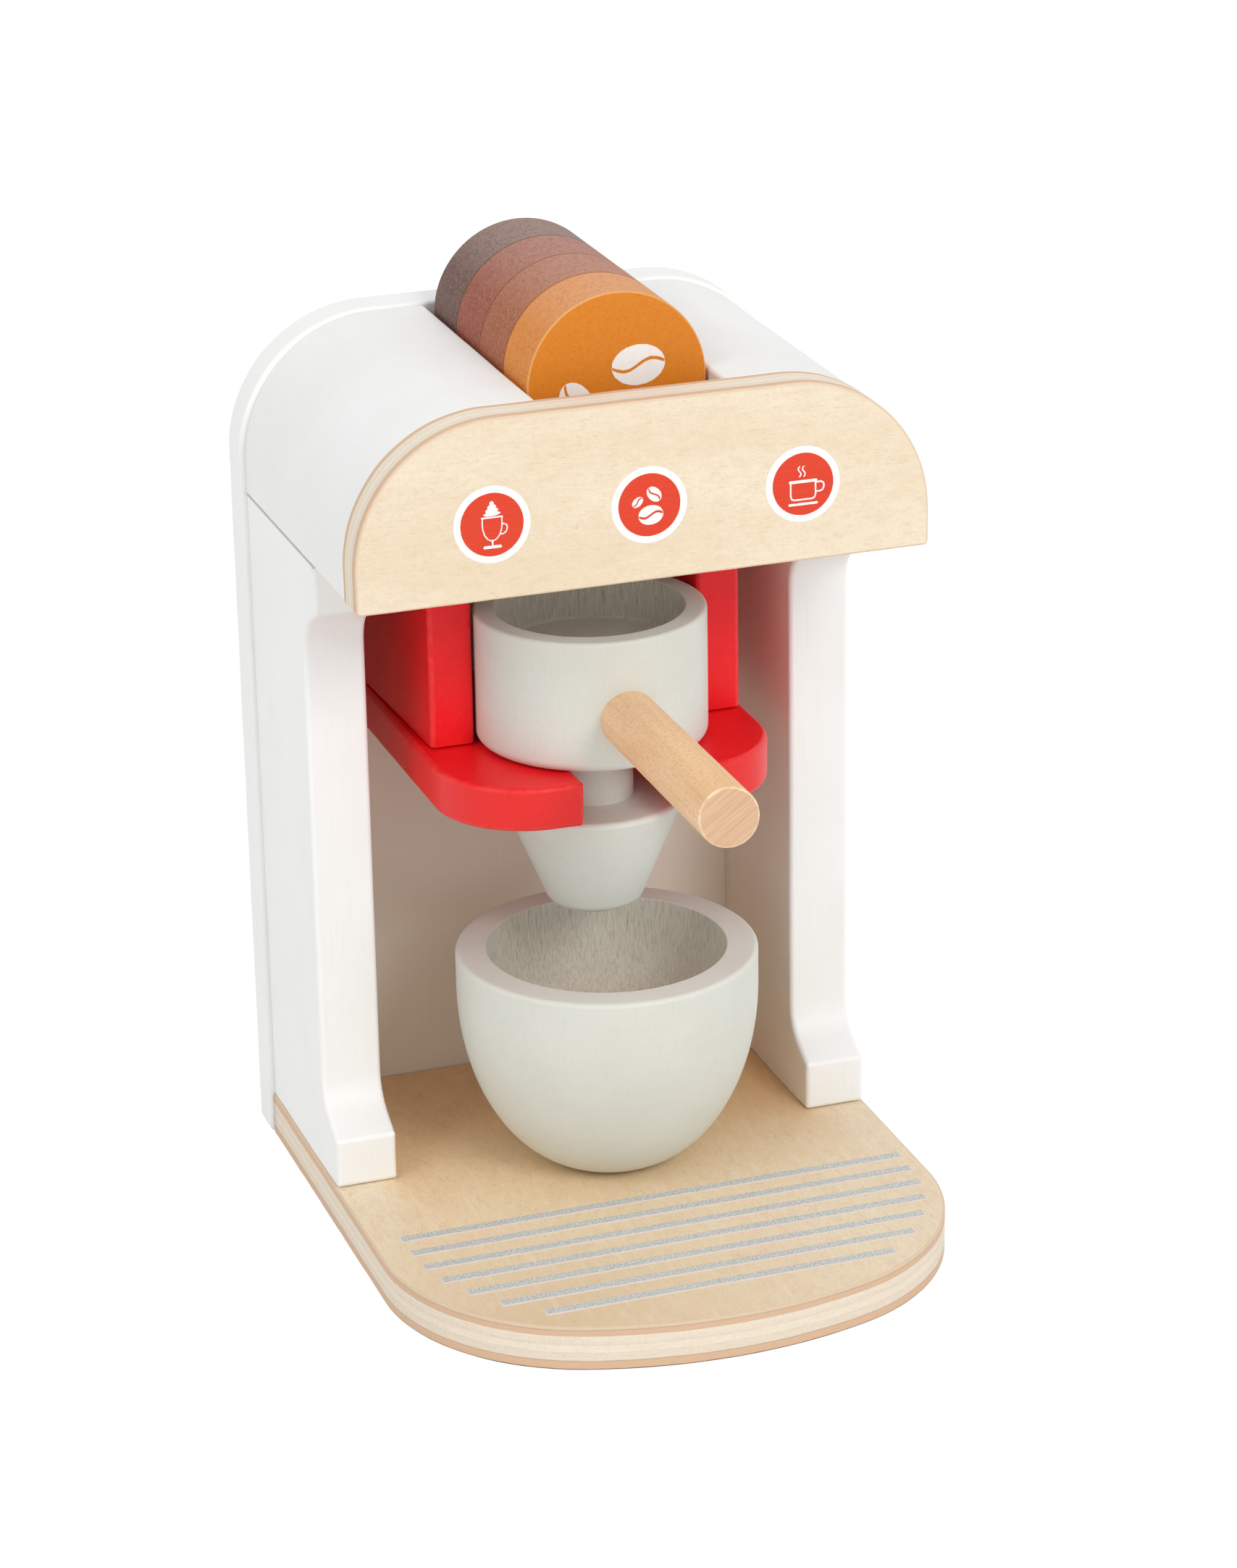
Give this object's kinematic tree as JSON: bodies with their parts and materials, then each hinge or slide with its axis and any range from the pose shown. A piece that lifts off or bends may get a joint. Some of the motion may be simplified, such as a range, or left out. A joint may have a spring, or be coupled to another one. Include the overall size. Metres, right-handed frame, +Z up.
{
  "type": "wooden toy coffee machine set",
  "caption": "Wooden toy coffee machine with round-shouldered head, capsule channel, slotted shelf with swivelling filter holder, cup and lift-out capsule discs.",
  "frame": {"origin": "on the table plane under the middle of the whole set's bounding box", "axes": "+Z up, -Y to the front where the handle points, +X to the viewer's right when facing the front"},
  "size_m": [0.122, 0.1525, 0.2031],
  "materials": {
    "white_paint": "satin paint on birch plywood and beech",
    "birch_plywood": "clear matt lacquer on birch plywood, printed",
    "red_paint": "satin paint",
    "grey_green_paint": "thin matt paint, grain raised inside the hollows",
    "beech": "sanded and oiled",
    "orange_stain": "satin paint, printed face",
    "tan_stain": "thin matt paint",
    "red_brown_stain": "thin matt paint",
    "dark_brown_stain": "thin matt paint"
  },
  "bodies": {
    "machine": {"back_panel": "white_paint", "left_wall": "white_paint", "right_wall": "white_paint", "left_head_block": "white_paint", "right_head_block": "white_paint", "channel_floor": "white_paint", "base_plate": "birch_plywood", "front_panel": "birch_plywood", "filter_shelf": "red_paint", "left_hanger": "red_paint", "right_hanger": "red_paint", "base_left_pin_1": "beech", "base_left_pin_2": "beech", "base_right_pin_1": "beech", "base_right_pin_2": "beech", "head_left_pin_1": "beech", "head_left_pin_2": "beech", "head_right_pin_1": "beech", "head_right_pin_2": "beech", "back_left_pin_1": "beech", "back_left_pin_2": "beech", "back_right_pin_1": "beech", "back_right_pin_2": "beech", "shelf_left_pin_1": "beech", "shelf_left_pin_2": "beech", "shelf_right_pin_1": "beech", "shelf_right_pin_2": "beech", "hanger_left_pin_1": "beech", "hanger_left_pin_2": "beech", "hanger_right_pin_1": "beech", "hanger_right_pin_2": "beech", "floor_left_pin_1": "beech", "floor_left_pin_2": "beech", "floor_right_pin_1": "beech", "floor_right_pin_2": "beech", "front_left_pin_1": "beech", "front_left_pin_2": "beech", "front_right_pin_1": "beech", "front_right_pin_2": "beech"},
    "filter_spout": {"filter_neck": "grey_green_paint", "filter_funnel": "grey_green_paint"},
    "filter_holder": {"filter_bowl": "grey_green_paint", "filter_handle": "beech"},
    "cup": {"coffee_cup": "grey_green_paint"},
    "disc_orange": {"capsule_orange": "orange_stain"},
    "disc_tan": {"capsule_tan": "tan_stain"},
    "disc_red_brown": {"capsule_red_brown": "red_brown_stain"},
    "disc_dark_brown": {"capsule_dark_brown": "dark_brown_stain"}
  },
  "joints": [
    {"name": "filter_slide", "type": "slide", "parent": "machine", "child": "filter_spout", "axis": [0, -1, 0], "range_m": [0, 0.11]},
    {"name": "filter_swivel", "type": "hinge", "parent": "filter_spout", "child": "filter_holder", "pos_m": [0, 0.0207, 0.1033], "axis": [0, 0, 1], "range_deg": [-55, 60]},
    {"name": "cup_slide", "type": "slide", "parent": "machine", "child": "cup", "axis": [0, -1, 0], "range_m": [0, 0.12]},
    {"name": "capsule_orange_lift", "type": "slide", "parent": "machine", "child": "disc_orange", "axis": [0, 0, 1], "range_m": [0, 0.06]},
    {"name": "capsule_tan_lift", "type": "slide", "parent": "machine", "child": "disc_tan", "axis": [0, 0, 1], "range_m": [0, 0.06]},
    {"name": "capsule_red_brown_lift", "type": "slide", "parent": "machine", "child": "disc_red_brown", "axis": [0, 0, 1], "range_m": [0, 0.06]},
    {"name": "capsule_dark_brown_lift", "type": "slide", "parent": "machine", "child": "disc_dark_brown", "axis": [0, 0, 1], "range_m": [0, 0.06]}
  ]
}
